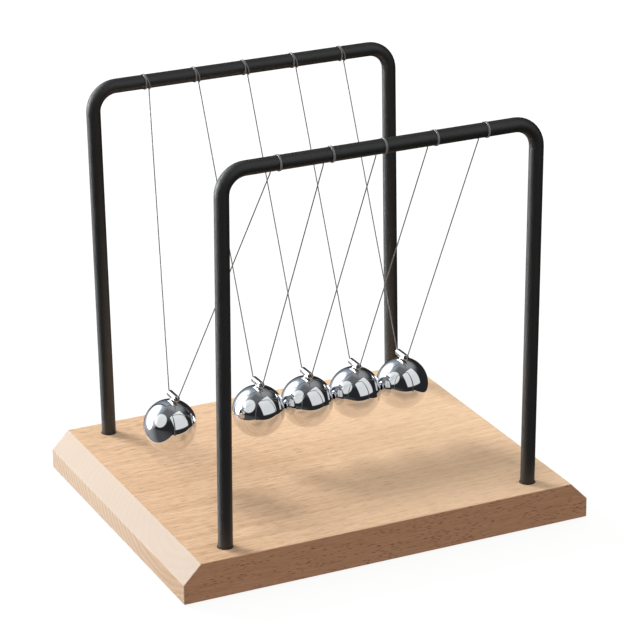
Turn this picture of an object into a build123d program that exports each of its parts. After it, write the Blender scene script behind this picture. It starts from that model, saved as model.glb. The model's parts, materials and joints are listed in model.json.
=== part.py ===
"""Five-ball Newton's cradle: beech board, two rod hoops, five balls on V-shaped lines.

Frame: millimetres, +Z up, +X along the top bars (the balls swing along X), +Y to the rear.
Origin: middle of the board's footprint, at the surface that the pads stand on.
"""

from build123d import *
import os
from math import cos, radians, sin

# ---------------------------------------------------------------- driving dimensions
# board
board_length = 181.0
board_width = 146.6
board_top_z = 17.0
pad_proud = 0.8
bevel_run = 7.6
bevel_drop = 7.9
board_edge_radius = 0.4

# pads under the board
pad_diameter = 12.0
pad_recess_depth = 0.8
pad_recess_clearance = 0.15
pad_inset_x = 38.0
pad_inset_y = 14.0
pad_edge_radius = 0.3

# hoops: black rod, two legs and a top bar
rod_diameter = 6.0
leg_half_spacing = 68.0
hoop_half_spacing = 62.8
bar_z = 171.9
bend_radius = 10.0
socket_depth = 9.0
socket_clearance = 0.4
# how far each top bar stands away from straight above its own feet (X, Y)
front_bar_lean = (3.0, 1.9)
rear_bar_lean = (-1.8, -1.8)

# screws that hold the hoops from below
screw_diameter = 3.0
screw_tap_clearance = 0.05
screw_grip_in_rod = 8.0
screw_tap_spare = 1.0
screw_head_diameter = 5.6
screw_head_height = 2.2
screw_head_edge_radius = 0.7
hex_across_flats = 2.0
hex_depth = 1.2
washer_diameter = 7.0
washer_thickness = 0.5
washer_hole_diameter = 3.3
counterbore_diameter = 8.0
counterbore_depth = 4.0
screw_hole_diameter = 3.4

# line and its turns round the bars
line_diameter = 0.5
turns_per_wrap = 2
turn_pitch = 0.56
groove_depth = 0.15
groove_width = 1.4
touch_clearance = 0.02
pivot_gap = 0.05
# how far the turns sit to the side of the ball that they hold (X)
front_wrap_offset = 3.4
rear_wrap_offset = -2.2
lead_in_gap = 0.3

# balls
ball_count = 5
ball_diameter = 22.2
ball_gap = 0.2
ball_row_y = 6.0
ball_centre_z = 40.0
first_ball_swing = 7.8
stem_hole_diameter = 2.0
stem_hole_depth = 3.0
stem_foot_gap = 0.05

# eyelets on the balls
eyelet_diameter = 2.8
eyelet_length = 8.0
eyelet_bore = 1.1
eyelet_rise = 1.75
eyelet_edge_radius = 0.35
stem_diameter = 1.9
mouth_gap = 0.55
mouth_radius = 1.05

# ---------------------------------------------------------------- worked-out dimensions
rod_radius = rod_diameter / 2
ball_radius = ball_diameter / 2
line_radius = line_diameter / 2
ball_pitch = ball_diameter + ball_gap
leg_foot_z = board_top_z - socket_depth
wrap_radius = rod_radius - groove_depth + touch_clearance + line_radius
lead_in_radius = rod_radius + touch_clearance + line_radius
pivot_z = bar_z - wrap_radius - 2 * line_radius - pivot_gap
front_bar_y = -hoop_half_spacing + front_bar_lean[1]
rear_bar_y = hoop_half_spacing + rear_bar_lean[1]
hang_length = pivot_z - ball_centre_z
eyelet_height = ball_radius + eyelet_rise

LEG_SIDES = {"left": -1, "right": 1}
HOOPS = {
    "front": (-hoop_half_spacing, front_bar_lean),
    "rear": (hoop_half_spacing, rear_bar_lean),
}
BARS = {
    "front": (front_bar_y, front_wrap_offset),
    "rear": (rear_bar_y, rear_wrap_offset),
}

os.makedirs("parts", exist_ok=True)


def save(part, name):
    """Label one finished sub-part and write it as its own file."""
    part.label = name
    export_step(part, f"parts/{name}.step")


def ball_x(number):
    """X of a ball's pivots; ball 1 is the leftmost."""
    return (number - (ball_count + 1) / 2) * ball_pitch


def on_leg(side, hoop_y, lean, z):
    """The point of a leg's centre line at height z."""
    share = (z - board_top_z) / (bar_z - board_top_z)
    return Vector(side * leg_half_spacing + lean[0] * share, hoop_y + lean[1] * share, z)


def leg_plane(side, hoop_y, lean, z):
    """A plane square to a leg, centred on it at height z, facing up the leg."""
    up_leg = on_leg(side, hoop_y, lean, bar_z) - on_leg(side, hoop_y, lean, board_top_z)
    return Plane(origin=on_leg(side, hoop_y, lean, z), x_dir=(1, 0, 0), z_dir=up_leg)


def all_legs():
    """Name, side, hoop and lean of each of the four legs."""
    for hoop, (hoop_y, lean) in HOOPS.items():
        for side_name, side in LEG_SIDES.items():
            yield f"{hoop}_{side_name}", side, hoop_y, lean


# ---------------------------------------------------------------- board
def make_board():
    pad_x = board_length / 2 - pad_inset_x
    pad_y = board_width / 2 - pad_inset_y
    with BuildPart() as board:
        with BuildSketch(Plane.XZ):
            with BuildLine():
                Polyline(
                    (-board_length / 2, pad_proud),
                    (board_length / 2, pad_proud),
                    (board_length / 2, board_top_z - bevel_drop),
                    (board_length / 2 - bevel_run, board_top_z),
                    (-board_length / 2 + bevel_run, board_top_z),
                    (-board_length / 2, board_top_z - bevel_drop),
                    close=True,
                )
            make_face()
        extrude(amount=board_width / 2, both=True)
        fillet(board.edges(), board_edge_radius)
        with BuildSketch(Plane.XY.offset(pad_proud)):
            with GridLocations(2 * pad_x, 2 * pad_y, 2, 2):
                Circle(pad_diameter / 2 + pad_recess_clearance)
        extrude(amount=pad_recess_depth, mode=Mode.SUBTRACT)
        past_board = 2 * socket_depth
        counterbore_floor = -(leg_foot_z - pad_proud - counterbore_depth)
        for _, side, hoop_y, lean in all_legs():
            drill = leg_plane(side, hoop_y, lean, leg_foot_z)
            with BuildSketch(Plane(origin=drill.origin, x_dir=drill.x_dir, z_dir=-drill.y_dir)):
                with BuildLine():
                    Polyline(
                        (0, past_board),
                        (rod_radius + socket_clearance, past_board),
                        (rod_radius + socket_clearance, 0),
                        (screw_hole_diameter / 2, 0),
                        (screw_hole_diameter / 2, counterbore_floor),
                        (counterbore_diameter / 2, counterbore_floor),
                        (counterbore_diameter / 2, -past_board),
                        (0, -past_board),
                        close=True,
                    )
                make_face()
            revolve(axis=Axis(drill.origin, drill.z_dir), mode=Mode.SUBTRACT)
    save(board.part, "base_board")


def make_pads():
    pad_x = board_length / 2 - pad_inset_x
    pad_y = board_width / 2 - pad_inset_y
    for row, side_y in (("front", -1), ("rear", 1)):
        for side_name, side in LEG_SIDES.items():
            with BuildPart() as pad:
                with BuildSketch(Plane((side * pad_x, side_y * pad_y, 0))):
                    Circle(pad_diameter / 2)
                extrude(amount=pad_proud + pad_recess_depth)
                fillet(pad.edges().group_by(Axis.Z)[0], pad_edge_radius)
            save(pad.part, f"foot_pad_{row}_{side_name}")


# ---------------------------------------------------------------- hoops and their screws
def make_hoop(hoop):
    hoop_y, lean = HOOPS[hoop]
    bar_y, wrap_offset = BARS[hoop]
    corners = [
        on_leg(-1, hoop_y, lean, leg_foot_z),
        on_leg(-1, hoop_y, lean, bar_z),
        on_leg(1, hoop_y, lean, bar_z),
        on_leg(1, hoop_y, lean, leg_foot_z),
    ]
    with BuildPart() as rod:
        with BuildLine():
            rod_path = FilletPolyline(*corners, radius=bend_radius)
        with BuildSketch(leg_plane(-1, hoop_y, lean, leg_foot_z)):
            Circle(rod_radius)
        sweep(path=rod_path)
        for side in LEG_SIDES.values():
            with BuildSketch(leg_plane(side, hoop_y, lean, leg_foot_z)):
                Circle(screw_diameter / 2 + screw_tap_clearance)
            extrude(amount=screw_grip_in_rod + screw_tap_spare, mode=Mode.SUBTRACT)
        for number in range(1, ball_count + 1):
            groove_start = ball_x(number) + wrap_offset - groove_width / 2
            with BuildSketch(Plane(origin=(groove_start, bar_y, bar_z), z_dir=(1, 0, 0))):
                Circle(rod_radius + groove_depth)
                Circle(rod_radius - groove_depth, mode=Mode.SUBTRACT)
            extrude(amount=groove_width, mode=Mode.SUBTRACT)
    save(rod.part, f"hoop_{hoop}")


def make_hoop_fixings():
    seat_drop = leg_foot_z - pad_proud - counterbore_depth
    for leg, side, hoop_y, lean in all_legs():
        seat = leg_plane(side, hoop_y, lean, leg_foot_z).offset(-seat_drop)
        with BuildPart() as washer:
            with BuildSketch(seat):
                Circle(washer_diameter / 2)
                Circle(washer_hole_diameter / 2, mode=Mode.SUBTRACT)
            extrude(amount=-washer_thickness)
        save(washer.part, f"washer_{leg}")

        head_seat = seat.offset(-washer_thickness)
        shank_length = washer_thickness + seat_drop + screw_grip_in_rod
        with BuildPart() as screw:
            with BuildSketch(head_seat):
                Circle(screw_head_diameter / 2)
            extrude(amount=-screw_head_height)
            head_rim = screw.edges().filter_by(GeomType.CIRCLE).sort_by(Axis.Z)[0]
            fillet(head_rim, screw_head_edge_radius)
            with BuildSketch(head_seat):
                Circle(screw_diameter / 2)
            extrude(amount=shank_length)
            with BuildSketch(head_seat.offset(-screw_head_height)):
                RegularPolygon(hex_across_flats / 2, 6, major_radius=False)
            extrude(amount=hex_depth, mode=Mode.SUBTRACT)
        save(screw.part, f"hoop_screw_{leg}")


# ---------------------------------------------------------------- pendulums
def swing_plane(number, along_y, below_pivot):
    """A plane through a pendulum's V: local x runs to the rear, local y up the pendulum.

    Ball 1 is stored swung out to the left; the others hang straight down.
    """
    swing = radians(first_ball_swing) if number == 1 else 0.0
    up = Vector(sin(swing), 0, cos(swing))
    pivot = Vector(ball_x(number), along_y, pivot_z)
    across = Vector(cos(swing), 0, -sin(swing))
    return Plane(origin=pivot - up * below_pivot, x_dir=(0, 1, 0), z_dir=across)


def make_ball(number):
    centre = swing_plane(number, ball_row_y, hang_length)
    with BuildPart() as ball:
        with BuildSketch(centre):
            Circle(ball_radius)
            Rectangle(ball_radius, ball_diameter, align=(Align.MAX, Align.CENTER), mode=Mode.SUBTRACT)
            with Locations((0, ball_radius)):
                Rectangle(
                    stem_hole_diameter / 2,
                    2 * stem_hole_depth,
                    align=(Align.MIN, Align.CENTER),
                    mode=Mode.SUBTRACT,
                )
        revolve(axis=Axis(centre.origin, centre.y_dir))
    save(ball.part, f"ball_{number}")


def make_eyelet(number):
    centre = swing_plane(number, ball_row_y, hang_length - eyelet_height)
    along_barrel = Plane(origin=centre.origin, x_dir=centre.z_dir, z_dir=(0, 1, 0))
    up_stem = Plane(origin=centre.origin, x_dir=(0, 1, 0), z_dir=centre.y_dir)
    stem_foot = eyelet_height - (ball_radius - stem_hole_depth) - stem_foot_gap
    with BuildPart() as eyelet:
        with BuildSketch(along_barrel):
            Circle(eyelet_diameter / 2)
        extrude(amount=eyelet_length / 2, both=True)
        fillet(eyelet.edges().filter_by(GeomType.CIRCLE), eyelet_edge_radius)
        with BuildSketch(up_stem.offset(-stem_foot)):
            Circle(stem_diameter / 2)
        extrude(amount=stem_foot)
        with BuildSketch(along_barrel):
            Circle(eyelet_bore / 2)
        extrude(amount=eyelet_length, both=True, mode=Mode.SUBTRACT)
    save(eyelet.part, f"eyelet_{number}")


def make_suspension_line(number):
    """One line: down from the front bar, through the eyelet, and up to the rear bar."""
    drop = hang_length - eyelet_height
    mouth = eyelet_length / 2 + mouth_gap
    corners = [
        (front_bar_y, 0),
        (ball_row_y - mouth, -drop),
        (ball_row_y + mouth, -drop),
        (rear_bar_y, 0),
    ]
    plane = swing_plane(number, 0, 0)
    with BuildPart() as line:
        with BuildLine(plane):
            route = FilletPolyline(*corners, radius=mouth_radius)
        with BuildSketch(Plane(origin=route @ 0, z_dir=route % 0)):
            Circle(line_radius)
        sweep(path=route)
    save(line.part, f"line_{number}")
    return route.length


def make_wrap(hoop, number):
    """The line's end: along under the bar, then round it as closed rings in the bar's groove."""
    bar_y, wrap_offset = BARS[hoop]
    ring_x = ball_x(number) + wrap_offset
    first = ring_x - (turns_per_wrap - 1) * turn_pitch / 2
    lead_in_start = ball_x(number) + (lead_in_gap if wrap_offset > 0 else -lead_in_gap)
    with BuildPart() as wrap:
        for turn in range(turns_per_wrap):
            with Locations(Location((first + turn * turn_pitch, bar_y, bar_z), (0, 90, 0))):
                Torus(wrap_radius, line_radius)
        with BuildSketch(Plane(origin=(lead_in_start, bar_y, bar_z - lead_in_radius), z_dir=(1, 0, 0))):
            Circle(line_radius)
        extrude(amount=ring_x - lead_in_start)
    save(wrap.part, f"wrap_{hoop}_{number}")


# ---------------------------------------------------------------- the whole cradle
make_board()
make_pads()
for hoop in HOOPS:
    make_hoop(hoop)
make_hoop_fixings()
for number in range(1, ball_count + 1):
    make_ball(number)
    make_eyelet(number)
    line_length = make_suspension_line(number)
    for hoop in BARS:
        make_wrap(hoop, number)

print(f"line length between the bars {line_length:.1f} mm, bend radius {mouth_radius} mm")
print(f"pivots at z {pivot_z:.3f} mm, bars at y {front_bar_y:.2f} and {rear_bar_y:.2f} mm")
print(f"ball swing radius {hang_length:.2f} mm, gap between balls {ball_gap} mm")
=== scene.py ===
"""Looks of the five-ball Newton's cradle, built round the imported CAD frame. Metres, +Z up."""

import json
import math

import bmesh
import bpy
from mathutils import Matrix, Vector


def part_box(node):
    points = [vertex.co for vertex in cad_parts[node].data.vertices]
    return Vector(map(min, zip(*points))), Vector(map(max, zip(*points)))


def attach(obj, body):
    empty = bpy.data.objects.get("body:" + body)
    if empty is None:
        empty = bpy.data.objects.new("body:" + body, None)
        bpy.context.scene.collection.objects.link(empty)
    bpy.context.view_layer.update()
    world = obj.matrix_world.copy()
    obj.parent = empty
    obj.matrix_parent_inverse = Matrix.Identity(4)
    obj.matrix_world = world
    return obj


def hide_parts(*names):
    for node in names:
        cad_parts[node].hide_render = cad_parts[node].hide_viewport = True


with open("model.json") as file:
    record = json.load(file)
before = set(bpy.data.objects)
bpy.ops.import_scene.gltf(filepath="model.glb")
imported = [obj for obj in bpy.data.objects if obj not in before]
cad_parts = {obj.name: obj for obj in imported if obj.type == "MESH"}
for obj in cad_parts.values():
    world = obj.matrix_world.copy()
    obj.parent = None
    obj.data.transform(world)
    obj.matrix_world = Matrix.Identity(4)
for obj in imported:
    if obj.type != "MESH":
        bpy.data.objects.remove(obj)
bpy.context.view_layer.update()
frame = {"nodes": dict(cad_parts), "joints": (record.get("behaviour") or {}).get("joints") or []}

MM = 0.001
BALL_NUMBERS = range(1, 6)
HOOPS = ("front", "rear")

# ---------------------------------------------------------------- sizes
BALL_RADIUS = 11.1 * MM
BALL_SEGMENTS = 160
BALL_ARC_STEPS = 96
STEM_HOLE_RADIUS = 1.0 * MM
STEM_HOLE_DEPTH = 3.0 * MM
STEM_HOLE_RIM = 0.12 * MM

EYELET_HEIGHT = 12.85 * MM
EYELET_RADIUS = 1.4 * MM
EYELET_BORE_RADIUS = 0.55 * MM
EYELET_LENGTH = 8.0 * MM
EYELET_LIP = 0.35 * MM
EYELET_BORE_LIP = 0.18 * MM
EYELET_LIP_STEPS = 6
EYELET_BORE_LIP_STEPS = 4
EYELET_SEGMENTS = 48

STEM_RADIUS = 0.95 * MM
STEM_CHAMFER = 0.1 * MM
STEM_FOOT_GAP = 0.05 * MM
STEM_SINK = 0.06 * MM
STEM_SINK_IN_TUBE = 0.25 * MM
STEM_SEGMENTS = 40
# radius and height of the fillet on the ball, above the stem's seat
STEM_FILLET = ((1.55, 0.0), (1.35, 0.12), (1.08, 0.28), (1.02, 0.48))
# radius and height of the stem's upper end, from its top
STEM_HEAD = ((1.12, -0.25), (0.90, 0.0), (0.0, 0.0))

LINE_DIAMETER = 0.5 * MM
MOUTH_GAP = 0.55 * MM
# how far the line's helping points stand from its corners at the eyelet
OUTSIDE_CORNER = 6 * LINE_DIAMETER
INSIDE_CORNER = 3 * LINE_DIAMETER
LINE_ROUNDNESS = 4
LINE_STEPS = 12

WRAP_TURNS = 2
WRAP_PITCH = 0.56 * MM
WRAP_LEAD_LIFT = 0.15 * MM
# in turns: how long the lead-in is, and where the turns start to step sideways
WRAP_LEAD_IN = 0.5
WRAP_STEP_START = 0.75
STEPS_PER_TURN = 36
TUBE_SEGMENTS = 12
SAME_POINT = 1e-9

# ---------------------------------------------------------------- camera
CAMERA_AZIMUTH = math.radians(-24.935)
CAMERA_ELEVATION = math.radians(21.455)
CAMERA_ROLL = math.radians(-0.745)
CAMERA_DISTANCE = 1.2245
CAMERA_TARGET = Vector((0.0026, 0.0, 0.0795))
CAMERA_LENS = 167.4
CAMERA_NEAR = 0.01
CAMERA_FAR = 50

# ---------------------------------------------------------------- floor and light
FLOOR_SIZE = 60.0
FLOOR_COLOUR = (0.12, 0.12, 0.12, 1)
FLOOR_GLOW = 0.90

KEY_DIRECTION = (-0.457, 0.795, 0.398)
KEY_AIM = Vector((0, 0, 0.05))
KEY_DISTANCE = 2.2
KEY_WIDTH = 1.10
KEY_HEIGHT = 0.62
KEY_POWER = 72.0
KEY_COLOUR = (1.0, 0.995, 0.985)

FILL_COLOUR = (1.0, 0.985, 0.96, 1)
FILL_ALL_ROUND = 0.38
FILL_FROM_ABOVE = 0.68

# ---------------------------------------------------------------- reflected room
UP = (0, 0, 1)
ROOM_GROUND = (0.022, 0.022, 0.0231)
# direction, angles in degrees where the glow ends and where it is full, strength, colour
ROOM_GLOWS = (
    ((0.05, 0.10, 0.99), 64, 14, 0.13, (0.94, 0.98, 1.0)),
    ((0.42, 0.25, 0.87), 34, 12, 0.16, (1.0, 1.0, 1.0)),
    ((-0.55, 0.74, 0.42), 36, 19, 1.4, (0.97, 0.99, 1.0)),
    ((-0.44, 0.76, 0.50), 18, 9, 5.0, (0.98, 0.99, 1.0)),
    ((-0.80, 0.58, 0.06), 19, 9, 17.0, (0.97, 0.99, 1.0)),
    ((-0.90, 0.30, 0.28), 26, 8, 0.50, (0.96, 0.98, 1.0)),
    ((-0.50, 0.76, 0.42), 56, 30, 0.36, (0.72, 0.84, 1.0)),
    ((-0.79, -0.209, 0.576), 29, 25, 0.78, (0.98, 1.0, 0.99)),
)
# the same, for glows that show only below the horizon
LOW_GLOWS = (
    ((-0.60, 0.78, -0.20), 62, 12, 0.26, (0.97, 0.98, 1.0)),
    ((-0.75, -0.15, -0.65), 70, 20, 0.055, (0.96, 0.98, 1.0)),
)
LOW_EDGE = (-0.10, 0.02)

WINDOW_DIRECTION = Vector((0.44, -0.785, 0.44))
WINDOW_ACROSS = Vector((0.86, 0.51, 0))
WINDOW_HALF_WIDTH = 0.69
WINDOW_HALF_HEIGHT = 0.92
WINDOW_SOFTNESS = 0.06
WINDOW_STRENGTH = 0.76
WINDOW_COLOUR = (0.98, 1.0, 1.0)
WINDOW_SILL = (-0.02, 0.05)
# a panel shows only ahead, where its offsets are finite
PANEL_AHEAD = (0.05, 0.10)

# ---------------------------------------------------------------- beech
BEECH_PALE = (0.680, 0.474, 0.309, 1)
BEECH_TAN = (0.665, 0.452, 0.288, 1)
BEECH_DEEP = (0.520, 0.322, 0.188, 1)
BEECH_BROWN = (0.200, 0.085, 0.040, 1)
BEECH_SIDE_PALE = (0.548, 0.290, 0.168, 1)
BEECH_SIDE_DEEP = (0.450, 0.222, 0.120, 1)
# partly painted sheen: the bevel and end colours are paler and whiter than the top, partly the
# end grain's own colour and partly standing in for the light's shine on them
BEECH_BEVEL_AND_SHEEN = (0.500, 0.420, 0.355, 1)
# painted light: a paler colour that the top is mixed towards on its right, so that side looks
# more brightly lit
BEECH_PAINTED_LIGHT = (0.960, 0.720, 0.490, 1)
BEECH_END_AND_SHEEN = (0.665, 0.525, 0.408, 1)
BEECH_RING = (0.520, 0.330, 0.195, 1)

# in millimetres: the tree's heart runs along X, in front of the board's middle and above it
HEART_Y = -46.0
HEART_Z = 52.0
HEART_SWAY = 26.0
RING_SPACING = 3.1
RING_WOBBLE = 3.4

# noise stretched along the grain: scale per millimetre, offset, detail, roughness
BEECH_NOISES = {
    "sway": ((0.007, 0.010, 0.02), (3.1, 0, 0), 2.0, 0.5),
    "wobble": ((0.02, 0.09, 0.09), (0, 7.7, 0), 3.0, 0.5),
    "bands": ((0.008, 0.06, 0.06), (5, 0, 2), 3.0, 0.5),
    "streaks": ((0.007, 0.42, 0.42), (1, 6, 3), 3.0, 0.6),
    "fibres": ((0.085, 2.5, 2.5), (0, 0, 0), 3.0, 0.65),
    "pores": ((0.16, 3.3, 3.3), (0, 1, 4), 1.0, 0.5),
    "clusters": ((0.05, 0.35, 0.35), (2, 3, 0), 2.0, 0.5),
    "dots": ((1.2, 2.6, 2.6), (9, 0, 0), 1.0, 0.5),
}
RAY_SCALE = (0.30, 1.5, 1.5)
RAY_OFFSET = (0.4, 0.2, 0)

# steps: the values of a noise or place between which a mask goes from none to full
LATE_WOOD_RISE = (0.30, 0.92)
LATE_WOOD_FALL = (0.92, 1.0)
RAY_STEP = (0.12, 0.42)
CLUSTER_STEP = (0.32, 0.58)
BAND_STEP = (0.32, 0.68)
STREAK_STEP = (0.47, 0.66)
FIBRE_STEP = (0.44, 0.68)
SIDE_FIBRE_STEP = (0.30, 0.75)
PORE_STEP = (0.57, 0.65)
DOT_STEP = (0.55, 0.72)
# the X range, in millimetres, over which the top's painted light fades in
PAINTED_LIGHT_STEP = (-70.0, 35.0)
WARM_END_STEP = (-80.0, 20.0)
SLOPE_STEP = (0.35, 0.62)
END_STEP = (0.78, 0.95)
SIDE_STEP = (0.5, 0.9)

# strengths: how far a full mask changes the colour under it
STREAKS_ON_TOP = 0.58
FIBRES_ON_TOP = 0.60
RINGS_ON_TOP = 0.07
PORES_ON_TOP = 0.55
PAINTED_LIGHT_ON_TOP = 0.27
FLECKS_ON_SIDE = 0.85
PORES_ON_SIDE = 0.16
RINGS_ON_BEVEL = 0.20
RINGS_ON_END = 0.72
WARMTH_ON_END = 0.60
DOTS_ON_ENDS = 0.07

BEECH_ROUGHNESS = (0.50, 0.62)
BEECH_SPECULAR = 0.30
BEECH_BUMP = 0.06 * MM
BEECH_BUMP_STRENGTH = 0.5
PORE_DEPTH = 0.8

# ---------------------------------------------------------------- other materials
NOISE_STEP = (0.3, 0.7)
# Each varies with one noise between a dark and a light colour, and between two roughnesses.
# cloud is the scale of a second noise, for the colour alone.
# bump is the relief's height and strength.
FINISHES = {
    # satin powder coat with its fine orange peel
    "black_powder_coat": {
        "dark": (0.009, 0.0088, 0.0086, 1),
        "light": (0.014, 0.0137, 0.0134, 1),
        "rough": (0.48, 0.56),
        "scale": 2.4,
        "cloud": 0.12,
        "bump": (0.04 * MM, 0.5),
        "shader": {"Specular_IOR_Level": 0.8},
    },
    # mirror chrome with the faintest wipe marks
    "ball_chrome": {
        "dark": (0.80, 0.81, 0.83, 1),
        "light": (0.86, 0.87, 0.885, 1),
        "rough": (0.012, 0.045),
        "step": (0.3, 0.75),
        "scale": 0.35,
        "detail": 4.0,
        "stretch": (1.0, 0.25, 0.6),
        "shader": {"Metallic": 1.0},
    },
    # bright nickel plate with turning marks round the tube
    "eyelet_plate": {
        "dark": (0.52, 0.515, 0.505, 1),
        "light": (0.64, 0.635, 0.625, 1),
        "rough": (0.07, 0.14),
        "scale": 1.0,
        "stretch": (0.4, 9.0, 0.4),
        "bump": (0.02 * MM, 0.4),
        "shader": {"Metallic": 1.0},
    },
    # clear monofilament, greyish against a pale ground
    "nylon_line": {
        "dark": (0.215, 0.217, 0.220, 1),
        "light": (0.285, 0.287, 0.290, 1),
        "rough": (0.20, 0.30),
        "scale": 0.6,
        "shader": {"Transmission_Weight": 0.20, "IOR": 1.53},
    },
    # bright zinc plate with a fine crystal grain
    "zinc_plate": {
        "dark": (0.48, 0.49, 0.50, 1),
        "light": (0.62, 0.63, 0.64, 1),
        "rough": (0.26, 0.38),
        "scale": 6.0,
        "stretch": (0.5, 0.5, 0.5),
        "bump": (0.02 * MM, 0.4),
        "shader": {"Metallic": 1.0},
    },
    # matt black rubber
    "pad_rubber": {
        "dark": (0.020, 0.020, 0.021, 1),
        "light": (0.045, 0.044, 0.043, 1),
        "rough": (0.72, 0.88),
        "scale": 3.0,
        "detail": 3.0,
        "bump": (0.05 * MM, 0.6),
    },
}
UNSTRETCHED = (1, 1, 1)


# ---------------------------------------------------------------- node helpers
class Tree:
    """Short calls for building a node tree."""

    def __init__(self, tree):
        self.nodes, self.links = tree.nodes, tree.links

    def put(self, value, socket):
        """Sets a socket to a plain value, or links another node's output to it."""
        if isinstance(value, bpy.types.NodeSocket):
            self.links.new(value, socket)
        else:
            socket.default_value = value

    def math(self, operation, a, b=0.0):
        node = self.nodes.new("ShaderNodeMath")
        node.operation = operation
        self.put(a, node.inputs[0])
        self.put(b, node.inputs[1])
        return node.outputs[0]

    def multiply(self, a, b):
        return self.math("MULTIPLY", a, b)

    def ramp(self, value, low, high, out_low=0.0, out_high=1.0):
        """A smooth step from out_low to out_high as the value goes from low to high."""
        node = self.nodes.new("ShaderNodeMapRange")
        node.interpolation_type = "SMOOTHSTEP"
        node.inputs["From Min"].default_value = low
        node.inputs["From Max"].default_value = high
        node.inputs["To Min"].default_value = out_low
        node.inputs["To Max"].default_value = out_high
        self.put(value, node.inputs["Value"])
        return node.outputs["Result"]


class Room(Tree):
    """The room that shiny things reflect: soft glows and a window on a dark ground."""

    def __init__(self, tree):
        super().__init__(tree)
        coordinates = self.nodes.new("ShaderNodeTexCoord")
        self.direction = coordinates.outputs["Generated"]
        self.total = ROOM_GROUND

    def along(self, axis):
        """How far the view direction runs along an axis, from -1 to 1."""
        node = self.nodes.new("ShaderNodeVectorMath")
        node.operation = "DOT_PRODUCT"
        self.put(self.direction, node.inputs[0])
        self.put(Vector(axis).normalized(), node.inputs[1])
        return node.outputs["Value"]

    def add(self, mask, strength, colour):
        """Adds light of one colour where the mask is above zero."""
        light = self.nodes.new("ShaderNodeVectorMath")
        light.operation = "SCALE"
        self.put([strength * channel for channel in colour], light.inputs[0])
        self.put(mask, light.inputs["Scale"])
        both = self.nodes.new("ShaderNodeVectorMath")
        both.operation = "ADD"
        self.put(self.total, both.inputs[0])
        self.put(light.outputs[0], both.inputs[1])
        self.total = both.outputs[0]

    def glow(self, direction, outer, inner):
        """A round patch that fades from its inner to its outer angle, in degrees."""
        edge, full = math.cos(math.radians(outer)), math.cos(math.radians(inner))
        return self.ramp(self.along(direction), edge, full)

    def panel(self, direction, across, half_width, half_height, softness):
        """A flat rectangle square to a direction; half sizes at a distance of 1."""
        forward = direction.normalized()
        across = (across - forward * across.dot(forward)).normalized()
        ahead = self.along(forward)
        mask = self.ramp(ahead, *PANEL_AHEAD)
        for axis, half in ((across, half_width), (forward.cross(across), half_height)):
            offset = self.math("ABSOLUTE", self.math("DIVIDE", self.along(axis), ahead))
            inside = self.math("SUBTRACT", 1.0, self.ramp(offset, half - softness, half))
            mask = self.multiply(mask, inside)
        return mask


class Material(Tree):
    """Short calls for building one material's nodes."""

    def __init__(self, name):
        self.material = bpy.data.materials.new(name)
        self.material.use_nodes = True
        super().__init__(self.material.node_tree)
        self.shader = self.nodes["Principled BSDF"]

    def set(self, **values):
        """Sets the shader's sockets, named with _ for each space."""
        for key, value in values.items():
            self.put(value, self.shader.inputs[key.replace("_", " ")])

    def position(self, scale=UNSTRETCHED, offset=(0, 0, 0)):
        """Object position in millimetres, stretched by scale."""
        coordinates = self.nodes.new("ShaderNodeTexCoord")
        mapping = self.nodes.new("ShaderNodeMapping")
        mapping.inputs["Scale"].default_value = [factor / MM for factor in scale]
        mapping.inputs["Location"].default_value = offset
        self.put(coordinates.outputs["Object"], mapping.inputs["Vector"])
        return mapping.outputs["Vector"]

    def noise(self, vector, scale, detail, roughness=0.5):
        node = self.nodes.new("ShaderNodeTexNoise")
        node.inputs["Scale"].default_value = scale
        node.inputs["Detail"].default_value = detail
        node.inputs["Roughness"].default_value = roughness
        self.put(vector, node.inputs["Vector"])
        return node.outputs["Fac"]

    def split(self, vector):
        """The X, Y and Z of a vector."""
        node = self.nodes.new("ShaderNodeSeparateXYZ")
        self.put(vector, node.inputs["Vector"])
        return node.outputs["X"], node.outputs["Y"], node.outputs["Z"]

    def mix(self, fac, a, b):
        """Colour a where fac is 0 and colour b where it is 1."""
        node = self.nodes.new("ShaderNodeMix")
        node.data_type = "RGBA"
        for name, value in (("Factor", fac), ("A", a), ("B", b)):
            sockets = [i for i in node.inputs if i.name == name and i.enabled]
            self.put(value, sockets[0])
        return [output for output in node.outputs if output.enabled][0]

    def bump(self, height, distance, strength):
        node = self.nodes.new("ShaderNodeBump")
        node.inputs["Distance"].default_value = distance
        node.inputs["Strength"].default_value = strength
        self.put(height, node.inputs["Height"])
        self.set(Normal=node.outputs["Normal"])


# ---------------------------------------------------------------- studio
def camera_back():
    """Unit vector from the camera's target towards the camera."""
    flat = math.cos(CAMERA_ELEVATION)
    return Vector((
        math.sin(CAMERA_AZIMUTH) * flat,
        -math.cos(CAMERA_AZIMUTH) * flat,
        math.sin(CAMERA_ELEVATION),
    ))


def add_camera():
    back = camera_back()
    data = bpy.data.cameras.new("camera")
    data.lens = CAMERA_LENS
    data.clip_start = CAMERA_NEAR
    data.clip_end = CAMERA_FAR
    camera = bpy.data.objects.new("camera", data)
    bpy.context.scene.collection.objects.link(camera)
    camera.location = CAMERA_TARGET + back * CAMERA_DISTANCE
    aim = (-back).to_track_quat("-Z", "Y").to_matrix().to_4x4()
    roll = aim.Rotation(CAMERA_ROLL, 4, "Z")
    camera.rotation_euler = (aim @ roll).to_euler()
    bpy.context.scene.camera = camera


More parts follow.
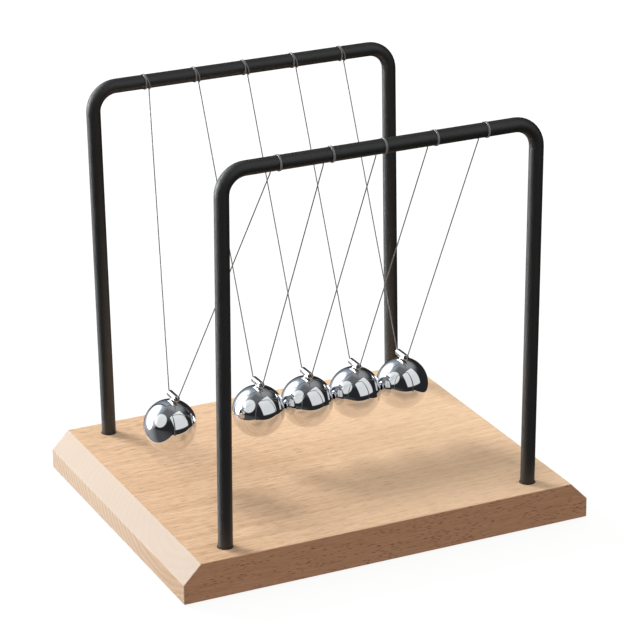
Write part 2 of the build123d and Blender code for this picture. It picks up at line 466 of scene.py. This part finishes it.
def add_floor():
    """A pale ground that takes soft shadows and lights nothing."""
    bpy.ops.mesh.primitive_plane_add(size=FLOOR_SIZE, location=(0, 0, 0))
    floor = bpy.context.active_object
    floor.name = "floor"
    material = bpy.data.materials.new("pale_floor")
    material.use_nodes = True
    nodes, links = material.node_tree.nodes, material.node_tree.links
    nodes.clear()
    output = nodes.new("ShaderNodeOutputMaterial")
    total = nodes.new("ShaderNodeAddShader")
    diffuse = nodes.new("ShaderNodeBsdfDiffuse")
    diffuse.inputs["Color"].default_value = FLOOR_COLOUR
    glow = nodes.new("ShaderNodeEmission")
    glow.inputs["Strength"].default_value = FLOOR_GLOW
    links.new(diffuse.outputs[0], total.inputs[0])
    links.new(glow.outputs[0], total.inputs[1])
    links.new(total.outputs[0], output.inputs["Surface"])
    floor.data.materials.append(material)
    floor.visible_glossy = False
    floor.visible_diffuse = False


def add_key_light():
    """A large window-like light, behind and to the left."""
    data = bpy.data.lights.new("key_light", "AREA")
    data.shape = "ELLIPSE"
    data.size = KEY_WIDTH
    data.size_y = KEY_HEIGHT
    data.energy = KEY_POWER
    data.color = KEY_COLOUR
    light = bpy.data.objects.new("key_light", data)
    bpy.context.scene.collection.objects.link(light)
    towards = Vector(KEY_DIRECTION).normalized()
    light.location = KEY_AIM + towards * KEY_DISTANCE
    light.rotation_euler = towards.to_track_quat("Z", "Y").to_euler()
    light.visible_glossy = False


def furnish(room, up):
    """Puts the glows and the window into the reflected room."""
    for direction, outer, inner, strength, colour in ROOM_GLOWS:
        room.add(room.glow(direction, outer, inner), strength, colour)
    window = room.panel(
        WINDOW_DIRECTION,
        WINDOW_ACROSS,
        WINDOW_HALF_WIDTH,
        WINDOW_HALF_HEIGHT,
        WINDOW_SOFTNESS,
    )
    above_sill = room.ramp(up, *WINDOW_SILL)
    room.add(room.multiply(window, above_sill), WINDOW_STRENGTH, WINDOW_COLOUR)
    low = room.math("SUBTRACT", 1.0, room.ramp(up, *LOW_EDGE))
    for direction, outer, inner, strength, colour in LOW_GLOWS:
        room.add(room.multiply(low, room.glow(direction, outer, inner)), strength, colour)


def add_world():
    """Even light for matt surfaces, and the reflected room for glossy ones."""
    world = bpy.data.worlds.new("studio")
    bpy.context.scene.world = world
    world.use_nodes = True
    world.cycles.sampling_method = "NONE"
    nodes, links = world.node_tree.nodes, world.node_tree.links
    nodes.clear()
    room = Room(world.node_tree)
    up = room.along(UP)
    furnish(room, up)

    even = nodes.new("ShaderNodeBackground")
    even.inputs["Color"].default_value = FILL_COLOUR
    overhead = room.multiply(room.math("MAXIMUM", up, 0.0), FILL_FROM_ABOVE)
    links.new(room.math("ADD", overhead, FILL_ALL_ROUND), even.inputs["Strength"])
    reflected = nodes.new("ShaderNodeBackground")
    links.new(room.total, reflected.inputs["Color"])
    path = nodes.new("ShaderNodeLightPath")
    mix = nodes.new("ShaderNodeMixShader")
    output = nodes.new("ShaderNodeOutputWorld")
    links.new(path.outputs["Is Glossy Ray"], mix.inputs[0])
    links.new(even.outputs[0], mix.inputs[1])
    links.new(reflected.outputs[0], mix.inputs[2])
    links.new(mix.outputs[0], output.inputs["Surface"])


# ---------------------------------------------------------------- materials
def late_wood_mask(m, y, z, sway, wobble):
    """The dark part of each year's ring, for rings round the heart."""
    sway = m.math("SUBTRACT", sway, 0.5)
    wobble = m.math("SUBTRACT", wobble, 0.5)
    across = m.math("SUBTRACT", m.math("ADD", y, m.multiply(sway, HEART_SWAY)), HEART_Y)
    rise = m.math("SUBTRACT", z, HEART_Z)
    squared = m.math("ADD", m.multiply(across, across), m.multiply(rise, rise))
    radius = m.math("ADD", m.math("SQRT", squared), m.multiply(wobble, RING_WOBBLE))
    year = m.math("FRACT", m.math("DIVIDE", radius, RING_SPACING))
    return m.multiply(m.ramp(year, *LATE_WOOD_RISE), m.ramp(year, *LATE_WOOD_FALL, 1.0, 0.0))


def ray_fleck_mask(m, clusters):
    """Short dark flecks along the grain, in clusters."""
    rays = m.nodes.new("ShaderNodeTexVoronoi")
    rays.inputs["Scale"].default_value = 1.0
    m.put(m.position(RAY_SCALE, RAY_OFFSET), rays.inputs["Vector"])
    flecks = m.ramp(rays.outputs["Distance"], *RAY_STEP, 1.0, 0.0)
    return m.multiply(flecks, m.ramp(clusters, *CLUSTER_STEP))


def make_beech():
    """Solid beech: rings round a heart above the board, short pores, ray flecks on the sides."""
    m = Material("beech")
    noises = {
        name: m.noise(m.position(scale, offset), 1.0, detail, roughness)
        for name, (scale, offset, detail, roughness) in BEECH_NOISES.items()
    }
    x, y, z = m.split(m.position())
    late_wood = late_wood_mask(m, y, z, noises["sway"], noises["wobble"])
    fibres = noises["fibres"]
    pores = m.ramp(noises["pores"], *PORE_STEP)
    flecks = ray_fleck_mask(m, noises["clusters"])

    normal = m.nodes.new("ShaderNodeNewGeometry").outputs["Normal"]
    facing_x, facing_y, _ = m.split(normal)
    end_way = m.math("ABSOLUTE", facing_x)
    on_slope = m.ramp(end_way, *SLOPE_STEP)
    on_end = m.ramp(end_way, *END_STEP)
    on_side = m.ramp(m.math("ABSOLUTE", facing_y), *SIDE_STEP)

    top = m.mix(m.ramp(noises["bands"], *BAND_STEP), BEECH_PALE, BEECH_TAN)
    streaks = m.ramp(noises["streaks"], *STREAK_STEP, 0.0, STREAKS_ON_TOP)
    top = m.mix(streaks, top, BEECH_DEEP)
    top = m.mix(m.ramp(fibres, *FIBRE_STEP, 0.0, FIBRES_ON_TOP), top, BEECH_DEEP)
    top = m.mix(m.multiply(late_wood, RINGS_ON_TOP), top, BEECH_BROWN)
    top = m.mix(m.multiply(pores, PORES_ON_TOP), top, BEECH_BROWN)
    # painted light: the top is painted paler towards +X
    top = m.mix(m.ramp(x, *PAINTED_LIGHT_STEP, 0.0, PAINTED_LIGHT_ON_TOP), top, BEECH_PAINTED_LIGHT)

    side = m.mix(m.ramp(fibres, *SIDE_FIBRE_STEP), BEECH_SIDE_PALE, BEECH_SIDE_DEEP)
    side = m.mix(m.multiply(flecks, FLECKS_ON_SIDE), side, BEECH_BROWN)
    side = m.mix(m.multiply(pores, PORES_ON_SIDE), side, BEECH_BROWN)

    # the bevels and end faces: end-grain colour, with painted sheen in their paleness
    bevel = m.mix(m.multiply(late_wood, RINGS_ON_BEVEL), BEECH_BEVEL_AND_SHEEN, BEECH_RING)
    cut = m.mix(m.multiply(late_wood, RINGS_ON_END), BEECH_END_AND_SHEEN, BEECH_RING)
    cut = m.mix(m.ramp(y, *WARM_END_STEP, WARMTH_ON_END, 0.0), cut, BEECH_RING)
    ends = m.mix(on_end, bevel, cut)
    ends = m.mix(m.ramp(noises["dots"], *DOT_STEP, 0.0, DOTS_ON_ENDS), ends, BEECH_BROWN)

    m.set(Base_Color=m.mix(on_slope, m.mix(on_side, top, side), ends))
    m.set(Roughness=m.ramp(fibres, *NOISE_STEP, *BEECH_ROUGHNESS))
    m.set(Specular_IOR_Level=BEECH_SPECULAR)
    relief = m.math("SUBTRACT", fibres, m.multiply(pores, PORE_DEPTH))
    m.bump(relief, BEECH_BUMP, BEECH_BUMP_STRENGTH)
    return m.material


def make_finish(name):
    """One of the materials in FINISHES."""
    finish = FINISHES[name]
    detail = finish.get("detail", 2.0)
    m = Material(name)
    grain = m.noise(m.position(finish.get("stretch", UNSTRETCHED)), finish["scale"], detail)
    cloud = grain
    if "cloud" in finish:
        cloud = m.noise(m.position(), finish["cloud"], detail)
    m.set(Base_Color=m.mix(cloud, finish["dark"], finish["light"]))
    m.set(Roughness=m.ramp(grain, *finish.get("step", NOISE_STEP), *finish["rough"]))
    m.set(**finish.get("shader", {}))
    if "bump" in finish:
        m.bump(grain, *finish["bump"])
    return m.material


# ---------------------------------------------------------------- geometry helpers
def new_piece(name, data, material, body, node):
    """An object that rides on a body, stands for a CAD node and takes a slot's finish."""
    piece = bpy.data.objects.new(name, data)
    bpy.context.scene.collection.objects.link(piece)
    piece.data.materials.append(material)
    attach(piece, body)
    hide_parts(node)
    return piece


def ring_of(mesh, centre, side, other, radius, segments):
    """New vertices on a circle round a centre."""
    ring = []
    for step in range(segments):
        turn = 2 * math.pi * step / segments
        spoke = side * math.cos(turn) + other * math.sin(turn)
        ring.append(mesh.verts.new(centre + spoke * radius))
    return ring


def to_data(mesh, name):
    """Turns a bmesh into smooth-shaded mesh data with its normals outward."""
    bmesh.ops.recalc_face_normals(mesh, faces=mesh.faces)
    data = bpy.data.meshes.new(name)
    mesh.to_mesh(data)
    mesh.free()
    data.shade_smooth()
    return data


def lathe(name, profile, origin, axis, segments):
    """A closed solid from an outline of (radius, height) points turned round an axis."""
    axis = Vector(axis).normalized()
    side = axis.orthogonal().normalized()
    other = axis.cross(side)
    mesh = bmesh.new()
    rings = []
    for radius, height in profile:
        centre = Vector(origin) + axis * height
        if radius:
            rings.append(ring_of(mesh, centre, side, other, radius, segments))
        else:
            rings.append([mesh.verts.new(centre)])
    for lower, upper in zip(rings, rings[1:]):
        for step in range(segments):
            ahead = (step + 1) % segments
            corners = []
            for vertex in (
                lower[step % len(lower)],
                lower[ahead % len(lower)],
                upper[ahead % len(upper)],
                upper[step % len(upper)],
            ):
                if vertex not in corners:
                    corners.append(vertex)
            mesh.faces.new(corners)
    if profile[0] == profile[-1]:
        bmesh.ops.remove_doubles(mesh, verts=rings[0] + rings[-1], dist=SAME_POINT)
    return to_data(mesh, name)


def arc(centre_radius, centre_height, size, start, end, steps):
    """Points of an arc in (radius, height), from one angle to another in degrees."""
    points = []
    for step in range(steps + 1):
        angle = math.radians(start + (end - start) * step / steps)
        radius = centre_radius + size * math.cos(angle)
        points.append((radius, centre_height + size * math.sin(angle)))
    return points


def tube_along(name, path, radius):
    """A round tube with closed ends that follows a list of points."""
    mesh = bmesh.new()
    rings = []
    side = None
    for index, point in enumerate(path):
        before = path[max(index - 1, 0)]
        after = path[min(index + 1, len(path) - 1)]
        along = (after - before).normalized()
        side = side or along.orthogonal()
        side = (side - along * side.dot(along)).normalized()
        rings.append(ring_of(mesh, point, side, along.cross(side), radius, TUBE_SEGMENTS))
    for lower, upper in zip(rings, rings[1:]):
        for step in range(TUBE_SEGMENTS):
            ahead = (step + 1) % TUBE_SEGMENTS
            mesh.faces.new((lower[step], lower[ahead], upper[ahead], upper[step]))
    mesh.faces.new(rings[0][::-1])
    mesh.faces.new(rings[-1])
    return to_data(mesh, name)


# ---------------------------------------------------------------- places from the frame
def middle(node):
    low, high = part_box(node)
    return (low + high) / 2


def pivot_of(number):
    joint = next(j for j in frame["joints"] if j["name"] == f"swing_{number}")
    return Vector(joint["pos_m"])


def hang_of(number):
    """Ball centre and the unit vector from the ball up to its pivots."""
    low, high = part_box(f"ball_{number}")
    centre = Vector(((low.x + high.x) / 2, (low.y + high.y) / 2, low.z + BALL_RADIUS))
    pivot = pivot_of(number)
    up = Vector((pivot.x - centre.x, 0, pivot.z - centre.z)).normalized()
    return centre, up


# ---------------------------------------------------------------- pendulums
def add_ball(number, chrome):
    """Ball with the hole that its eyelet's stem stands in."""
    centre, up = hang_of(number)
    hole_angle = math.degrees(math.asin((STEM_HOLE_RADIUS + STEM_HOLE_RIM) / BALL_RADIUS))
    profile = arc(0, 0, BALL_RADIUS, -90, 90 - hole_angle, BALL_ARC_STEPS)
    profile[0] = (0, -BALL_RADIUS)
    mouth = profile[-1][1] - STEM_HOLE_RIM
    hole_bottom = BALL_RADIUS - STEM_HOLE_DEPTH
    profile.append((STEM_HOLE_RADIUS, mouth))
    profile.append((STEM_HOLE_RADIUS, mouth - STEM_HOLE_DEPTH / 2))
    profile += [(STEM_HOLE_RADIUS, hole_bottom), (0, hole_bottom)]
    name = f"polished_ball_{number}"
    mesh = lathe(name, profile, centre, up, BALL_SEGMENTS)
    new_piece(name, mesh, chrome, f"pendulum_{number}", f"ball_{number}")


def eyelet_tube_profile():
    """Outline of the tube, with rounded lips outside and at the bore."""
    outer = EYELET_RADIUS - EYELET_LIP
    inner = EYELET_BORE_RADIUS + EYELET_BORE_LIP
    outer_end = EYELET_LENGTH / 2 - EYELET_LIP
    inner_end = EYELET_LENGTH / 2 - EYELET_BORE_LIP
    profile = arc(outer, outer_end, EYELET_LIP, 0, 90, EYELET_LIP_STEPS)
    profile += arc(inner, inner_end, EYELET_BORE_LIP, 90, 180, EYELET_BORE_LIP_STEPS)
    profile += arc(inner, -inner_end, EYELET_BORE_LIP, 180, 270, EYELET_BORE_LIP_STEPS)
    profile += arc(outer, -outer_end, EYELET_LIP, 270, 360, EYELET_LIP_STEPS)
    profile.append(profile[0])
    return profile


def eyelet_stem_profile():
    """Outline of the stem, with a brazed fillet that seats on the ball."""
    foot = BALL_RADIUS - STEM_HOLE_DEPTH + STEM_FOOT_GAP
    seat = BALL_RADIUS - STEM_SINK
    top = EYELET_HEIGHT - EYELET_BORE_RADIUS - STEM_SINK_IN_TUBE
    profile = [(0, foot), (STEM_RADIUS - STEM_CHAMFER, foot)]
    profile += [(STEM_RADIUS, foot + STEM_CHAMFER), (STEM_RADIUS, seat)]
    profile += [(radius * MM, seat + height * MM) for radius, height in STEM_FILLET]
    profile += [(radius * MM, top + height * MM) for radius, height in STEM_HEAD]
    return profile


def add_eyelet(number, plate):
    """Tube along Y and the stem that holds it on the ball."""
    centre, up = hang_of(number)
    tube_centre = centre + up * EYELET_HEIGHT
    tube = f"eyelet_tube_{number}"
    stem = f"eyelet_stem_{number}"
    tube_mesh = lathe(tube, eyelet_tube_profile(), tube_centre, (0, 1, 0), EYELET_SEGMENTS)
    stem_mesh = lathe(stem, eyelet_stem_profile(), centre, up, STEM_SEGMENTS)
    for name, mesh in ((tube, tube_mesh), (stem, stem_mesh)):
        new_piece(name, mesh, plate, f"pendulum_{number}", f"eyelet_{number}")


def add_line(number, nylon):
    """One V of line: straight from the front bar, through the eyelet, and up to the rear bar."""
    centre, up = hang_of(number)
    pivot = pivot_of(number)
    front = Vector((pivot.x, middle(f"wrap_front_{number}").y, pivot.z))
    rear = Vector((pivot.x, middle(f"wrap_rear_{number}").y, pivot.z))
    tube_centre = centre + up * EYELET_HEIGHT
    along = Vector((0, 1, 0))
    mouth = EYELET_LENGTH / 2 + MOUTH_GAP
    front_corner = tube_centre - along * mouth
    rear_corner = tube_centre + along * mouth
    points = [
        front,
        front_corner + (front - front_corner).normalized() * OUTSIDE_CORNER,
        front_corner,
        front_corner + along * INSIDE_CORNER,
        rear_corner - along * INSIDE_CORNER,
        rear_corner,
        rear_corner + (rear - rear_corner).normalized() * OUTSIDE_CORNER,
        rear,
    ]
    name = f"nylon_line_{number}"
    data = bpy.data.curves.new(name, "CURVE")
    data.dimensions = "3D"
    data.bevel_depth = LINE_DIAMETER / 2
    data.bevel_resolution = LINE_ROUNDNESS
    data.use_fill_caps = True
    spline = data.splines.new("NURBS")
    spline.points.add(len(points) - 1)
    for control, point in zip(spline.points, points):
        control.co = (*point, 1)
    spline.order_u = 3
    spline.use_endpoint_u = True
    spline.resolution_u = LINE_STEPS
    line = new_piece(name, data, nylon, f"pendulum_{number}", f"line_{number}")


def add_wrap(hoop, number, nylon):
    """The line's end: a slanting rise up the bar's inner side to its turns round the bar."""
    low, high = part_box(f"wrap_{hoop}_{number}")
    # the way from the bar to the balls along Y, and from the pivot to the turns along X
    way = 1 if hoop == "front" else -1
    pivot = pivot_of(number)
    bar_y = (low.y + high.y) / 2
    radius = (high.y - low.y) / 2 - LINE_DIAMETER / 2
    bar_z = high.z - LINE_DIAMETER / 2 - radius
    between_rings = WRAP_PITCH * (WRAP_TURNS - 1)
    ring_half = (between_rings + LINE_DIAMETER) / 2
    ring_x = high.x - ring_half if way > 0 else low.x + ring_half
    first_ring = ring_x - way * between_rings / 2
    all_turns = WRAP_TURNS + 1
    step_per_turn = between_rings / (all_turns - WRAP_STEP_START)
    path = [Vector((pivot.x, bar_y, pivot.z))]
    for step in range(STEPS_PER_TURN * all_turns + 1):
        turns = step / STEPS_PER_TURN
        rise = min(turns / WRAP_LEAD_IN, 1.0)
        x = pivot.x + (first_ring - pivot.x) * rise * rise * (3 - 2 * rise)
        x += way * step_per_turn * max(turns - WRAP_STEP_START, 0)
        lift = radius + WRAP_LEAD_LIFT * (1 - rise)
        angle = 2 * math.pi * turns
        y = bar_y + way * math.sin(angle) * lift
        path.append(Vector((x, y, bar_z - math.cos(angle) * lift)))
    name = f"line_turns_{hoop}_{number}"
    mesh = tube_along(name, path, LINE_DIAMETER / 2)
    new_piece(name, mesh, nylon, "stand", f"wrap_{hoop}_{number}")


# ---------------------------------------------------------------- build
def paint(prefixes, material):
    """Gives every CAD node whose name starts with one of the prefixes this material."""
    for name, node in frame["nodes"].items():
        if name.startswith(prefixes):
            node.data.materials.clear()
            node.data.materials.append(material)


add_camera()
bpy.context.scene.view_settings.view_transform = "Standard"
nylon = make_finish("nylon_line")
for number in BALL_NUMBERS:
    add_line(number, nylon)
    for hoop in HOOPS:
        add_wrap(hoop, number, nylon)
add_floor()
add_world()
add_key_light()
chrome = make_finish("ball_chrome")
plate = make_finish("eyelet_plate")
for number in BALL_NUMBERS:
    add_ball(number, chrome)
    add_eyelet(number, plate)
paint(("base_board",), make_beech())
paint(("hoop_front", "hoop_rear"), make_finish("black_powder_coat"))
paint(("hoop_screw", "washer"), make_finish("zinc_plate"))
paint(("foot_pad",), make_finish("pad_rubber"))
